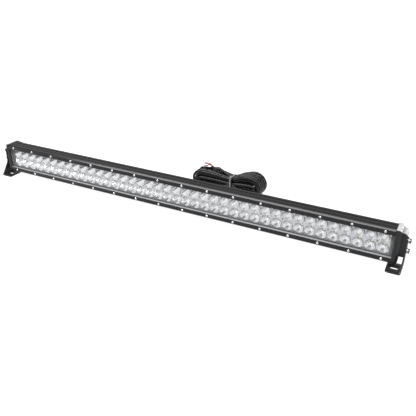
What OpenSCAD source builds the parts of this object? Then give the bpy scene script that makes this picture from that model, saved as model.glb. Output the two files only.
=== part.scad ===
// Two-row LED light bar with a bracket at each end and a tied supply cable behind it.
// Millimetres. X runs along the bar, -Y is the side that the light leaves, +Z is up.
// The origin is on the mounting surface, midway along the bar and across its depth.

/* [LED rows] */
// LEDs in each row, shared out equally between the four reflector modules
led_columns = 40; // [12:4:48]
// Distance from one LED to the next along the bar
led_pitch = 25.4; // [24:0.1:32]
// Distance between the two rows of LEDs
row_spacing = 24.8; // [24:0.1:32]
// Free length past the last LED at each end
end_room = 8.4; // [4:0.1:20]
// Widest radius of a reflector cup
cup_mouth_r = 12; // [9:0.1:12]
// Radius of the hole at the bottom of a reflector cup
cup_base_r = 4; // [3.5:0.1:6]
// Depth of the reflector modules from front to back
reflector_depth = 18; // [14:0.5:24]
// Thickness of the LED boards
board_t = 1.6; // [1:0.1:2.4]
// Thickness of the pads between the LED boards and the housing
pad_t = 0.6; // [0.3:0.1:1.5]

/* [Housing] */
// Height of the housing
housing_h = 77; // [72:0.5:100]
// Depth of the bar from its front frame to the tips of the fins
bar_depth = 64; // [60:0.5:90]
// How far back the flat top of the housing reaches
flat_top_depth = 32; // [26:0.5:40]
// Thickness of the wall behind the LED boards
floor_t = 5; // [3:0.5:8]
// Inside height of the driver channel
channel_h = 32; // [24:1:36]
// Inside depth of the driver channel
channel_d = 12; // [10:0.5:16]
// Wall of the driver channel
channel_wall = 2.5; // [2:0.1:4]
// Thickness of a cooling fin
fin_t = 2; // [1.5:0.1:2.4]
// Distance between the fins
fin_pitch = 7.5; // [6:0.1:9]

/* [Front] */
// Thickness of the two frame strips that clamp the lens
strip_t = 6; // [4:0.5:8]
// Height of the open window between the strips
window_h = 52; // [48:0.5:60]
// Chamfer along the outer front edge of each strip
strip_chamfer = 3; // [1:0.1:4]
// Thickness of the lens
lens_t = 3.5; // [2.5:0.1:5]
// How far the lens reaches behind each strip
lens_lap = 2.2; // [1.5:0.1:3]
// Thickness of the seal behind the lens
seal_t = 1.5; // [1:0.1:3]
// Number of screws in each strip
strip_screws = 16; // [4:1:20]
// Distance from the end of the housing to the first strip screw
strip_screw_inset = 19; // [10:0.5:30]
// Distance between the two rows of strip screws
screw_row_spacing = 63; // [60:0.5:80]
// Shank radius of a strip screw
strip_screw_r = 1.5; // [1:0.1:2]

/* [End caps] */
// Thickness of an end cap
cap_t = 11; // [8:0.5:16]
// How far a cap stands proud of the housing all round
cap_proud = 0.5; // [0:0.1:3]
// Chamfer round the outer face of a cap
cap_chamfer = 4.5; // [1:0.1:5]
// Thickness of the rubber seal between a cap and the housing
cap_seal_t = 1; // [0.5:0.1:2]
// How far the bracket seat stands out from a cap
boss_t = 9.5; // [6:0.5:16]
// Front of the bracket seat behind the front of the bar
boss_front = 11; // [8:0.5:14]
// Depth of the bracket seat from front to back
boss_depth = 28; // [20:0.5:32]
// Top of the bracket seat above the middle of the bar
boss_top = 30; // [24:0.5:32]
// Bottom of the bracket seat below the middle of the bar
boss_bottom = 24; // [20:0.5:30]
// Shank radius of the screws that hold a cap on
cap_screw_r = 2; // [1.5:0.1:2.5]

/* [Brackets] */
// Height of the middle of the bar above the mounting surface
bar_z = 51; // [50:0.5:90]
// Thickness of the bracket plate
plate_t = 3; // [2:0.1:5]
// Depth of the pivot behind the front of the bar
pivot_y = 17; // [14:0.5:24]
// Height of the pivot above the middle of the bar
pivot_z = 13; // [4:0.5:18]
// Distance from the pivot down to the lock bolt
slot_r = 23; // [18:0.5:28]
// Angle that the bar can be aimed down by
aim_down = 25; // [10:1:30]
// Angle that the bar can be aimed up by
aim_up = 5; // [2:1:8]
// Shank radius of the bracket bolts
bolt_r = 3; // [2.5:0.1:4]
// Clearance round a bracket bolt
bolt_play = 0.3; // [0.2:0.05:0.6]
// How far the foot reaches in front of the bar
foot_front = 16; // [8:0.5:30]
// How far the foot reaches behind the front of the bar
foot_back = 24; // [16:0.5:40]
// Width of the foot along the bar
foot_w = 31.5; // [26:0.5:45]
// Width of the slot in the foot
foot_slot_w = 8.5; // [6:0.1:10]
// Length of the slot in the foot from end to end
foot_slot_l = 16.5; // [12:0.1:22]

/* [Cable] */
// Diameter of the supply cable
cable_d = 6.5; // [5:0.1:8]
// Place of the cable gland along the bar
gland_x = -62; // [-150:1:-40]
// Height of the gland above the middle of the bar
gland_z = -6; // [-6:0.5:6]
// Diameter of each of the two leads at the end of the cable
lead_d = 3; // [2:0.1:3.6]

/* [Hidden] */
$fn = 48;
module_count = 4;

// Small amounts: a cutter's overshoot, the play of a thread and the gap between pieces that slide in
cut = 1;
thread_play = 0.05;
fit_gap = 0.3;
slide_gap = 0.1;

// Lengths along the bar
led_length = led_columns * led_pitch;
module_columns = led_columns / module_count;
module_l = led_length / module_count;
inner_length = led_length + 2 * end_room;
housing_l = inner_length - 2 * cap_seal_t;
cap_x = inner_length / 2;
cap_face_x = cap_x + cap_t;
boss_face_x = cap_face_x + boss_t;
plate_x = boss_face_x + slide_gap;
plate_face_x = plate_x + plate_t;

// Heights, measured from the middle of the bar
half_h = housing_h / 2;
window_half = window_h / 2;
lens_half = window_half + lens_lap;
cavity_half = window_half - 1;
screw_z = screw_row_spacing / 2;
channel_half = channel_h / 2;
cap_half = half_h + cap_proud;

// Depths, measured from the front of the bar
lens_back = strip_t + lens_t;
cavity_front = lens_back + seal_t;
reflector_front = cavity_front + fit_gap;
reflector_back = reflector_front + reflector_depth;
reflector_stand = 1.2;
board_front = reflector_back + reflector_stand;
floor_front = board_front + board_t + pad_t;
floor_back = floor_front + floor_t;
channel_back = floor_back + channel_d;
channel_outer = channel_back + channel_wall;
cap_depth = bar_depth + 2;
slope_rise = 1.35;

// Places of the rows, the columns and the screws
function led_x(i) = (i - (led_columns - 1) / 2) * led_pitch;
function row_z(j) = (j - 0.5) * row_spacing;
function module_x(i) = (i - (module_count - 1) / 2) * module_l;
strip_screw_pitch = (housing_l - 2 * strip_screw_inset) / (strip_screws - 1);
function strip_screw_x(i) = (i - (strip_screws - 1) / 2) * strip_screw_pitch;
reflector_screw_span = (floor(module_columns / 2) - 1) * led_pitch;
reflector_screw_r = 1.2;
reflector_screw_bite = 3;
cup_wall = 1.2;
face_t = 1.5;

// The sloping envelope that the fins end on, and the heights of the fins above the driver channel
function fin_tip(z) = min(bar_depth, flat_top_depth + 2 + (half_h - abs(z)) * slope_rise);
back_fin_zs = [for (k = [-2:2]) k * fin_pitch];
port_z = channel_half + channel_wall + fin_pitch * 0.75;
outer_fin_zs = [port_z, port_z + fin_pitch * 0.85];

// Screws that hold the caps: two in the thick front walls, two in ports beside the driver channel
cap_screw_l = 16;
front_port_y = 12;
front_port_z = half_h - 5;
back_port_y = floor_back + 6;
port_r = 4;
cap_screw_places = [
    [front_port_y, front_port_z], [front_port_y, -front_port_z],
    [back_port_y, port_z], [back_port_y, -port_z]
];

// Heads of the strip screws, the reflector screws and the cap screws
strip_screw_bite = 9;
strip_head_r = 2.9;
strip_head_h = 2;
strip_key_r = 1.3;
reflector_head_r = 2.2;
reflector_head_h = 1;
reflector_key_r = 0.9;
cap_head_r = 3.6;
cap_head_h = 2.6;
cap_head_sink = 3;
cap_key_r = 1.7;

// Driver board in the channel, and the hole that its leads take through the wall in front of it
driver_l = 120;
driver_w = 24;
driver_t = 1.6;
driver_x0 = -30;
driver_stand = 1.5;
driver_y = floor_back + driver_stand;
driver_face_y = driver_y + driver_t;
lead_hole_r = 3;
lead_hole_x = driver_x0 - 8;
wire_r = 0.6;
wire_offset = 1.4;

// Bolts and washers at the brackets
bolt_head_r = 5;
bolt_head_h = 3.4;
bolt_reach = 14;
hex_r = 2.3;
hex_floor_t = 1.2;
flat_washer_r = 6.2;
flat_washer_t = 1.2;
spring_washer_r = 5.2;
spring_washer_t = 1.4;
washer_split_w = 0.8;
head_x = plate_face_x + slide_gap + flat_washer_t + spring_washer_t;
lock_z = pivot_z - slot_r;
bore_r = bolt_r + bolt_play;
arm_r = bore_r + 2.6;
eye_r = bore_r + 5;
bend_r = 2;
foot_corner_r = 5;
foot_slot_y = (foot_back - foot_front) / 2;
foot_slot_x = plate_face_x - foot_w / 2;

// Gland on the back of the driver channel
gland_bore_r = cable_d / 2 + slide_gap;
gland_thread_r = 6;
gland_flange_r = 9.5;
gland_flange_t = 3;
gland_body_t = 7;
gland_nut_r = 8.6;
gland_nut_hex_t = 7;
gland_nose_base_r = 7.4;
gland_nose_tip_r = 5.3;
gland_locknut_r = 8;
gland_locknut_t = 4;
gland_nut_start = channel_outer + gland_flange_t;
cable_start = channel_back - gland_body_t;
gland_nut_end = channel_outer + 16;
seal_seat = 8;
gland_seal_r = cable_d / 2 + 2;
boot_l = 24;
boot_end = gland_nut_end + boot_l;
pocket_half = 13;

// Breather vent on the other side of the channel, as far from the middle as the gland
vent_x = -gland_x;
vent_r = 6;
vent_stem_r = 3;
vent_bore_r = 1;
vent_t = 4;
vent_pocket_half = vent_r + 3;

// The part's own frame: the front of the bar sits this far from the origin
bar_back = max(cap_depth, gland_nut_end);
bar_y = (foot_front - bar_back) / 2;

// Route of the supply cable, chosen by hand: out of the gland, down to the floor and round into the hank
cable_r = cable_d / 2;
hank_y = 154;
supply_route = [
    [gland_x, bar_y + cable_start, bar_z + gland_z],
    [gland_x, 42, bar_z + gland_z],
    [gland_x, 66, bar_z + gland_z],
    [gland_x + 2, 84, 40],
    [-52, 102, 29],
    [-40, 115, 15],
    [-25, 124, 6],
    [-8, 127, cable_r + 0.05],
    [10, 128, cable_r + 0.25]
];

// The hank: two lobes of loops drawn in by the tie at the waist
hank_left = [-2, 27, 27];
hank_right = [138, 31, 31];
waist_x = 82;
waist_low = 10;
waist_high = 45;
hank_half = 25;
waist_half = 17;
tie_w = 5;
tie_t = 1.2;

// The cable's end lies on the left lobe: a boot splits it into a red and a black lead
tail_route = [[74, 155.5, 42], [58, 159, 48.5], [49, 161, 52.5], [40, 163, 55.2]];
breakout_r = 4.5;
breakout_l = 14;
red_route = [[26, 165, 55.2], [20, 167, 55.8], [14, 169.5, 57], [8, 172, 58]];
black_route = [[26, 161, 55.2], [22, 160, 55.8], [19, 159, 57], [16, 158.5, 58]];
lead_r = lead_d / 2;
terminal_sleeve_l = 8;
terminal_sleeve_r = 2.8;
terminal_tongue_w = 4;
terminal_reach = 16;
terminal_eye_r = 5;
terminal_bore_r = 2.6;
terminal_t = 1.2;
terminal_turn = 12;

// A point on a smooth curve through four neighbours, and a curve of such points
function blend_point(a, b, c, d, t) =
    0.5 * (2 * b + (c - a) * t + (2 * a - 5 * b + 4 * c - d) * t * t + (3 * b - a - 3 * c + d) * t * t * t);
function smooth_route(p, steps) = [
    for (i = [0:len(p) - 2]) for (s = [0:steps - 1])
        blend_point(p[max(i - 1, 0)], p[i], p[i + 1], p[min(i + 2, len(p) - 1)], s / steps),
    p[len(p) - 1]
];
function unit(v) = v / norm(v);
function heading(p, i) = unit(p[min(i + 1, len(p) - 1)] - p[max(i - 1, 0)]);

// A ring of points round the route at point i. The side direction stays level, because no route is upright.
function ring(p, i, r, sides) =
    let (t = heading(p, i), u = unit(cross(t, [0, 0, 1])), v = cross(u, t))
    [for (k = [0:sides - 1]) p[i] + r * (cos(360 * k / sides) * u + sin(360 * k / sides) * v)];

// A closed tube with flat ends along a route
module tube_along(route, r, sides, steps) {
    p = smooth_route(route, steps);
    n = len(p);
    points = [for (i = [0:n - 1]) each ring(p, i, r, sides)];
    walls = [
        for (i = [0:n - 2]) for (k = [0:sides - 1])
            let (a = i * sides + k, b = i * sides + (k + 1) % sides)
            [a, a + sides, b + sides, b]
    ];
    first_end = [for (k = [0:sides - 1]) k];
    last_end = [for (k = [sides - 1:-1:0]) (n - 1) * sides + k];
    polyhedron(points, concat([first_end], walls, [last_end]), convexity = 10);
}

// Places its children in the bar's frame: y from the front of the bar, z from its middle
module at_bar() {
    translate([0, bar_y, bar_z]) children();
}

// Stretches an outline drawn in depth and height along the bar, from x0 over a length
module along_bar(x0, length) {
    translate([x0, 0, 0]) rotate([90, 0, 90]) linear_extrude(length) children();
}

// A cylinder whose axis runs back from the front of the bar
module backward(x, y, z, length, r1, r2) {
    translate([x, y, z]) rotate([-90, 0, 0]) cylinder(h = length, r1 = r1, r2 = r2);
}

// A cylinder whose axis runs along the bar, from x0
module sideways(x0, y, z, length, r) {
    translate([x0, y, z]) rotate([0, 90, 0]) cylinder(h = length, r = r);
}

// Draws its children for the right-hand end (side 1) or mirrored for the left-hand end (side -1)
module at_end(side) {
    if (side > 0) children();
    else mirror([1, 0, 0]) children();
}

/* Housing */

module housing_outline() {
    slope_end = floor_back + 1;
    polygon([
        [strip_t, -half_h], [strip_t, half_h], [flat_top_depth, half_h],
        [slope_end, half_h - (slope_end - flat_top_depth) / slope_rise],
        [slope_end, -half_h + (slope_end - flat_top_depth) / slope_rise],
        [flat_top_depth, -half_h]
    ]);
}

module front_opening() {
    translate([strip_t - cut, -lens_half - fit_gap]) square([cavity_front - strip_t + cut, 2 * (lens_half + fit_gap)]);
    translate([cavity_front - cut, -cavity_half]) square([floor_front - cavity_front + cut, 2 * cavity_half]);
}

module driver_channel_void() {
    translate([floor_back, -channel_half]) square([channel_d, channel_h]);
}

// Grooves in the flat top and bottom of the housing, which leave ribs between them
module top_grooves() {
    for (s = [-1, 1]) {
        translate([strip_t + 2, s * half_h]) square([2, 2.4], center = true);
        translate([flat_top_depth - 19, s * half_h]) square([1.2, 1.6], center = true);
        translate([flat_top_depth - 9, s * half_h]) square([3.2, 4], center = true);
    }
}

// Closed hollows that lighten the thick walls beside the reflectors
module wall_hollows() {
    hollow_front = front_port_y + port_r + 3;
    hollow_low = cavity_half + 3;
    hollow_high = half_h - 4.5;
    for (s = [-1, 1])
        translate([(hollow_front + flat_top_depth - 1) / 2, s * (hollow_low + hollow_high) / 2])
            square([flat_top_depth - 1 - hollow_front, hollow_high - hollow_low], center = true);
}

// One cooling fin with a round tip
module fin(z, root) {
    along_bar(-housing_l / 2, housing_l)
        translate([root, z - fin_t / 2]) square([fin_tip(z) - fin_t / 2 - root, fin_t]);
    sideways(-housing_l / 2, fin_tip(z) - fin_t / 2, z, housing_l, fin_t / 2);
}

// The solid body: the walls, the driver channel, the fins and the two screw ports
module housing_body() {
    along_bar(-housing_l / 2, housing_l) housing_outline();
    along_bar(-housing_l / 2, housing_l)
        translate([floor_back, -channel_half - channel_wall])
            square([channel_outer - floor_back, 2 * (channel_half + channel_wall)]);
    for (z = back_fin_zs) fin(z, channel_outer - cut);
    for (z = outer_fin_zs) for (s = [-1, 1]) fin(s * z, floor_back);
    for (s = [-1, 1]) sideways(-housing_l / 2, back_port_y, s * port_z, housing_l, port_r);
}

module housing() {
    color([0.09, 0.09, 0.1]) at_bar() difference() {
        housing_body();
        along_bar(-cap_x, 2 * cap_x) front_opening();
        along_bar(-cap_x, 2 * cap_x) driver_channel_void();
        along_bar(-cap_x, 2 * cap_x) top_grooves();
        along_bar(-cap_x, 2 * cap_x) wall_hollows();
        for (i = [0:strip_screws - 1]) for (s = [-1, 1])
            backward(strip_screw_x(i), strip_t - cut, s * screw_z, strip_screw_bite + cut,
                     strip_screw_r + thread_play, strip_screw_r + thread_play);
        for (place = cap_screw_places) for (s = [-1, 1])
            sideways(s * housing_l / 2 - cap_screw_l, place[0], place[1], 2 * cap_screw_l, cap_screw_r + thread_play);
        for (i = [0:module_count - 1]) for (x = reflector_screw_xs(i))
            backward(x, floor_front - cut, 0, reflector_screw_bite + 2 * cut, reflector_screw_r + thread_play,
                     reflector_screw_r + thread_play);
        // Pocket in the fins and hole in the wall for the gland
        translate([gland_x - pocket_half, channel_outer, gland_z - pocket_half])
            cube([2 * pocket_half, bar_depth, 2 * pocket_half]);
        backward(gland_x, channel_back - cut, gland_z, channel_wall + 2 * cut, gland_thread_r + thread_play,
                 gland_thread_r + thread_play);
        // Pocket and hole for the breather vent
        translate([vent_x - vent_pocket_half, channel_outer, -vent_pocket_half])
            cube([2 * vent_pocket_half, bar_depth, 2 * vent_pocket_half]);
        backward(vent_x, channel_back - cut, 0, channel_wall + 2 * cut, vent_stem_r + thread_play,
                 vent_stem_r + thread_play);
        // Hole that the driver's leads take to the LED boards
        backward(lead_hole_x, floor_front - cut, 0, floor_t + 2 * cut, lead_hole_r, lead_hole_r);
    }
}

/* Front frame, lens and seal */

module frame_strip() {
    strip_l = housing_l;
    difference() {
        along_bar(-strip_l / 2, strip_l) polygon([
            [0, window_half], [0, half_h - strip_chamfer], [strip_chamfer, half_h],
            [strip_t, half_h], [strip_t, window_half]
        ]);
        for (i = [0:strip_screws - 1])
            backward(strip_screw_x(i), -cut, screw_z, strip_t + 2 * cut,
                     strip_screw_r + thread_play, strip_screw_r + thread_play);
    }
}

module top_frame_strip() {
    color([0.07, 0.07, 0.08]) at_bar() frame_strip();
}

module bottom_frame_strip() {
    color([0.07, 0.07, 0.08]) at_bar() mirror([0, 0, 1]) frame_strip();
}

// A pan-head screw whose head seats on the face at y, driven along +Y
module front_screw(x, y, z, shank_r, length, head_r, head_h, key_r) {
    difference() {
        union() {
            backward(x, y, z, length, shank_r, shank_r);
            backward(x, y - head_h, z, head_h, head_r * 0.8, head_r);
        }
        translate([x, y - head_h - cut, z]) rotate([-90, 0, 0]) cylinder(h = cut + head_h * 0.6, r = key_r, $fn = 6);
    }
}

module strip_screws_row(z) {
    for (i = [0:strip_screws - 1])
        front_screw(strip_screw_x(i), 0, z, strip_screw_r, strip_t + strip_screw_bite - 1,
                    strip_head_r, strip_head_h, strip_key_r);
}

module top_strip_screws() {
    color([0.85, 0.85, 0.87]) at_bar() strip_screws_row(screw_z);
}

module bottom_strip_screws() {
    color([0.85, 0.85, 0.87]) at_bar() strip_screws_row(-screw_z);
}

module lens() {
    lens_l = housing_l - 2 * fit_gap;
    color([0.85, 0.9, 0.95, 0.35]) at_bar()
        translate([-lens_l / 2, strip_t, -lens_half]) cube([lens_l, lens_t, 2 * lens_half]);
}

module lens_seal() {
    seal_l = housing_l - 2 * fit_gap;
    end_rim = end_room - 3;
    color([0.1, 0.1, 0.1]) at_bar() difference() {
        translate([-seal_l / 2, lens_back, -lens_half]) cube([seal_l, seal_t, 2 * lens_half]);
        translate([-seal_l / 2 + end_rim, lens_back - cut, -cavity_half])
            cube([seal_l - 2 * end_rim, seal_t + 2 * cut, 2 * cavity_half]);
    }
}

/* Reflectors, LEDs and their boards */

function reflector_screw_xs(i) = [for (k = [-1:1]) module_x(i) + k * reflector_screw_span];

// A reflector module: a face with a cone behind each LED opening and posts that carry the screws
module reflector(i) {
    block_l = module_l - fit_gap;
    block_h = 2 * cavity_half - 2 * fit_gap;
    first = i * module_columns;
    last = first + module_columns - 1;
    slope = (cup_mouth_r - cup_base_r) / reflector_depth;
    post_r = reflector_screw_r + 1.6;
    color([0.85, 0.86, 0.88]) at_bar() difference() {
        union() {
            translate([module_x(i) - block_l / 2, reflector_front, -block_h / 2])
                cube([block_l, face_t, block_h]);
            intersection() {
                translate([module_x(i) - block_l / 2, reflector_front, -block_h / 2])
                    cube([block_l, reflector_depth, block_h]);
                union() for (c = [first:last]) for (j = [0, 1])
                    backward(led_x(c), reflector_front, row_z(j), reflector_depth,
                             cup_mouth_r + cup_wall, cup_base_r + cup_wall);
            }
            for (x = reflector_screw_xs(i))
                backward(x, reflector_front, 0, reflector_depth + reflector_stand, post_r, post_r);
        }
        for (c = [first:last]) for (j = [0, 1])
            backward(led_x(c), reflector_front - cut, row_z(j), reflector_depth + 2 * cut,
                     cup_mouth_r + slope * cut, cup_base_r - slope * cut);
        for (x = reflector_screw_xs(i))
            backward(x, reflector_front - cut, 0, reflector_depth + reflector_stand + 2 * cut,
                     reflector_screw_r + thread_play, reflector_screw_r + thread_play);
    }
}

module reflector_screws() {
    shank_l = floor_front + reflector_screw_bite - reflector_front;
    color([0.2, 0.2, 0.2]) at_bar()
        for (i = [0:module_count - 1]) for (x = reflector_screw_xs(i))
            front_screw(x, reflector_front, 0, reflector_screw_r, shank_l,
                        reflector_head_r, reflector_head_h, reflector_key_r);
}

module led_board(i) {
    board_l = module_l - 2 * fit_gap;
    board_h = 2 * cavity_half - 2;
    color([0.92, 0.93, 0.9]) at_bar() difference() {
        translate([module_x(i) - board_l / 2, board_front, -board_h / 2]) cube([board_l, board_t, board_h]);
        for (x = reflector_screw_xs(i))
            backward(x, board_front - cut, 0, board_t + 2 * cut, reflector_screw_r + fit_gap,
                     reflector_screw_r + fit_gap);
    }
}

// One emitter: a square base on the board with a round lens on it
module emitter(x, z) {
    base_w = 5;
    base_t = 1;
    dome_h = 1.6;
    translate([x - base_w / 2, board_front - base_t, z - base_w / 2]) cube([base_w, base_t, base_w]);
    backward(x, board_front - base_t - dome_h, z, dome_h, 1.4, 2.2);
}

module led_emitters() {
    color([0.95, 0.85, 0.4]) at_bar()
        for (c = [0:led_columns - 1]) for (j = [0, 1]) emitter(led_x(c), row_z(j));
}

module thermal_pads() {
    pad_h = 2 * cavity_half - 2;
    color([0.6, 0.7, 0.8]) at_bar() for (i = [0:module_count - 1]) difference() {
        translate([module_x(i) - module_l / 2 + 1, board_front + board_t, -pad_h / 2])
            cube([module_l - 2, pad_t, pad_h]);
        for (x = reflector_screw_xs(i))
            backward(x, board_front + board_t - cut, 0, pad_t + 2 * cut, reflector_screw_r + fit_gap,
                     reflector_screw_r + fit_gap);
        if (abs(lead_hole_x - module_x(i)) < module_l / 2)
            backward(lead_hole_x, board_front + board_t - cut, 0, pad_t + 2 * cut, lead_hole_r, lead_hole_r);
    }
}

// Wire links that carry the current from each LED board to the next
module board_links() {
    link_l = 7;
    link_w = 1.6;
    link_t = 0.8;
    color([0.8, 0.5, 0.3]) at_bar() for (i = [0:module_count - 2]) for (s = [-1, 1])
        translate([module_x(i) + module_l / 2 - link_l / 2, board_front - link_t, s * cavity_half * 0.86 - link_w / 2])
            cube([link_l, link_t, link_w]);
}

/* Driver, in the channel behind the LED boards */

module driver_board() {
    color([0.1, 0.35, 0.2]) at_bar() translate([driver_x0, driver_y, -driver_w / 2])
        cube([driver_l, driver_t, driver_w]);
}

module driver_stands() {
    stand_r = 2;
    color([0.8, 0.8, 0.8]) at_bar() for (x = [driver_x0 + 4, driver_x0 + driver_l - 4]) for (s = [-1, 1])
        backward(x, floor_back, s * (driver_w / 2 - 3), driver_stand, stand_r, stand_r);
}

module driver_coils() {
    coil_r = 6;
    coil_h = 7;
    color([0.25, 0.25, 0.27]) at_bar() for (x = [48, 88])
        backward(driver_x0 + x, driver_face_y, 3, coil_h, coil_r, coil_r);
}

module driver_capacitors() {
    capacitor_r = 4;
    capacitor_h = 8;
    color([0.2, 0.25, 0.35]) at_bar() for (x = [14, 25, 36])
        backward(driver_x0 + x, driver_face_y, -5, capacitor_h, capacitor_r, capacitor_r);
}

module driver_transistors() {
    body = [9, 2.4, 6];
    color([0.12, 0.12, 0.12]) at_bar() for (x = [56, 70, 84, 98])
        translate([driver_x0 + x, driver_face_y, -10]) cube(body);
}

// Two wires from the cable's end to the driver, and two from below the driver to the LED boards
module driver_leads() {
    under_y = floor_back + driver_stand / 2;
    board_back = board_front + board_t;
    color([0.6, 0.1, 0.1]) at_bar() for (s = [-1, 1]) {
        sideways(gland_x - 1, driver_face_y + wire_r, gland_z + s * wire_offset, driver_x0 + 5 - gland_x, wire_r);
        sideways(lead_hole_x, under_y, s * wire_offset, driver_x0 + 6 - lead_hole_x, wire_r);
        backward(lead_hole_x, board_back, s * wire_offset, under_y - board_back, wire_r, wire_r);
    }
}

/* End caps */

// Outline of a cap in depth and height, drawn in from the edge by an inset
module cap_outline(inset) {
    back_half = channel_half + 4;
    slope_y = flat_top_depth + 5;
    polygon([
        [inset, -cap_half + inset], [inset, cap_half - inset], [slope_y - inset * 0.4, cap_half - inset],
        [cap_depth - inset, back_half - inset * 0.4], [cap_depth - inset, -back_half + inset * 0.4],
        [slope_y - inset * 0.4, -cap_half + inset]
    ]);
}

module bolt_holes() {
    for (z = [pivot_z, lock_z])
        sideways(boss_face_x - bolt_reach - cut, pivot_y, z, bolt_reach + 2 * cut, bolt_r + thread_play);
}

module boss() {
    boss_chamfer = 3;
    hull() {
        translate([cap_face_x - cut, boss_front, -boss_bottom])
            cube([boss_t + cut - boss_chamfer, boss_depth, boss_top + boss_bottom]);
        translate([cap_face_x, boss_front, -boss_bottom])
            cube([boss_t, boss_depth - boss_chamfer, boss_top + boss_bottom - boss_chamfer]);
    }
}

module end_cap(side) {
    color([0.08, 0.08, 0.09]) at_bar() at_end(side) difference() {
        union() {
            hull() {
                along_bar(cap_x, cap_t - cap_chamfer) cap_outline(0);
                along_bar(cap_x, cap_t) cap_outline(cap_chamfer);
            }
            boss();
        }
        bolt_holes();
        for (place = cap_screw_places) {
            sideways(cap_x - cut, place[0], place[1], cap_t + 2 * cut, cap_screw_r + fit_gap);
            sideways(cap_face_x - cap_head_sink, place[0], place[1], cap_head_sink + cut, cap_head_r + fit_gap);
        }
    }
}

module left_end_cap() { end_cap(-1); }
module right_end_cap() { end_cap(1); }

module cap_seal(side) {
    color([0.05, 0.05, 0.05]) at_bar() at_end(side) difference() {
        along_bar(cap_x - cap_seal_t, cap_seal_t) difference() {
            intersection() {
                cap_outline(1);
                translate([0, -half_h]) square([bar_depth - 2, housing_h]);
            }
            translate([cavity_front, -cavity_half]) square([floor_front - cavity_front, 2 * cavity_half]);
            driver_channel_void();
        }
        for (place = cap_screw_places)
            sideways(cap_x - 2 * cut, place[0], place[1], 4 * cut, cap_screw_r + fit_gap);
    }
}

module left_cap_seal() { cap_seal(-1); }
module right_cap_seal() { cap_seal(1); }

// Screws sunk into counterbores in the cap
module cap_screws(side) {
    seat_x = cap_face_x - cap_head_sink;
    reach = seat_x - housing_l / 2 + cap_screw_l - 2;
    color([0.7, 0.7, 0.72]) at_bar() at_end(side) for (place = cap_screw_places) difference() {
        union() {
            sideways(seat_x - reach, place[0], place[1], reach, cap_screw_r);
            sideways(seat_x, place[0], place[1], cap_head_h, cap_head_r);
        }
        translate([seat_x + 1, place[0], place[1]]) rotate([0, 90, 0]) cylinder(h = cap_head_h, r = cap_key_r, $fn = 6);
    }
}

module left_cap_screws() { cap_screws(-1); }
module right_cap_screws() { cap_screws(1); }

/* Brackets, their bolts and washers */

// A place on the plate at an angle round the pivot, in depth and height: 0 is straight down, + is to the back
function round_pivot(r, angle) = [pivot_y + r * sin(angle), pivot_z - r * cos(angle)];

// The curved slot that the lock bolt slides in, cut through a plate from x0. Between its round ends it is
// a shade narrower, so that the lock bolt seats firmly there.
module curved_slot(x0, thickness) {
    far = 2 * slot_r;
    half_width = bore_r - slide_gap;
    intersection() {
        difference() {
            sideways(x0, pivot_y, pivot_z, thickness, slot_r + half_width);
            sideways(x0 - cut, pivot_y, pivot_z, thickness + 2 * cut, slot_r - half_width);
        }
        along_bar(x0 - cut, thickness + 2 * cut)
            polygon([[pivot_y, pivot_z], round_pivot(far, -aim_up), round_pivot(far, aim_down)]);
    }
    for (angle = [-aim_up, aim_down]) {
        place = round_pivot(slot_r, angle);
        sideways(x0, place[0], place[1], thickness, bore_r);
    }
}

// The flat of the plate between the eye, the curved slot and the foot, which spreads forwards
module plate_web() {
    foot_top = -bar_z + plate_t;
    slot_front = round_pivot(slot_r, -aim_up) - [arm_r, 0];
    slot_back = round_pivot(slot_r, aim_down);
    eye_side = eye_r * 0.96;
    polygon([
        [pivot_y - eye_side, pivot_z], slot_front,
        [slot_front[0] - 1.5, slot_front[1] - 9],
        [slot_front[0] - 8, slot_front[1] - 18],
        [-foot_front + 6, foot_top + 5],
        [-foot_front, foot_top - plate_t / 2],
        [-foot_front, -bar_z],
        [foot_back, -bar_z],
        [foot_back + 2, slot_back[1] - 16],
        slot_back + arm_r * [0.75, -0.55],
        slot_back + arm_r * [0.75, 0.55],
        [pivot_y + eye_side, pivot_z]
    ]);
}

module plate() {
    back_arm = round_pivot(slot_r, aim_down);
    along_bar(plate_x, plate_t) plate_web();
    sideways(plate_x, pivot_y, pivot_z, plate_t, eye_r);
    sideways(plate_x, back_arm[0], back_arm[1], plate_t, arm_r);
}

// Fills the inside of the bend between the plate and the foot
module bend_fillet() {
    depth = foot_front + foot_back;
    intersection() {
        translate([plate_x - bend_r, -foot_front, -bar_z + plate_t]) difference() {
            cube([bend_r + plate_t / 2, depth, bend_r]);
            translate([0, -cut, bend_r]) rotate([-90, 0, 0]) cylinder(h = depth + 2 * cut, r = bend_r);
        }
        along_bar(plate_x - bend_r, bend_r + plate_t) plate_web();
    }
}

// Cuts the outside of the bend round
module bend_outside() {
    outer_r = bend_r + plate_t;
    depth = foot_front + foot_back + 2 * cut;
    translate([plate_face_x - outer_r, -foot_front - cut, -bar_z - cut]) difference() {
        cube([outer_r + cut, depth, outer_r + cut]);
        translate([0, -cut, outer_r + cut]) rotate([-90, 0, 0]) cylinder(h = depth + 2 * cut, r = outer_r);
    }
}

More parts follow.
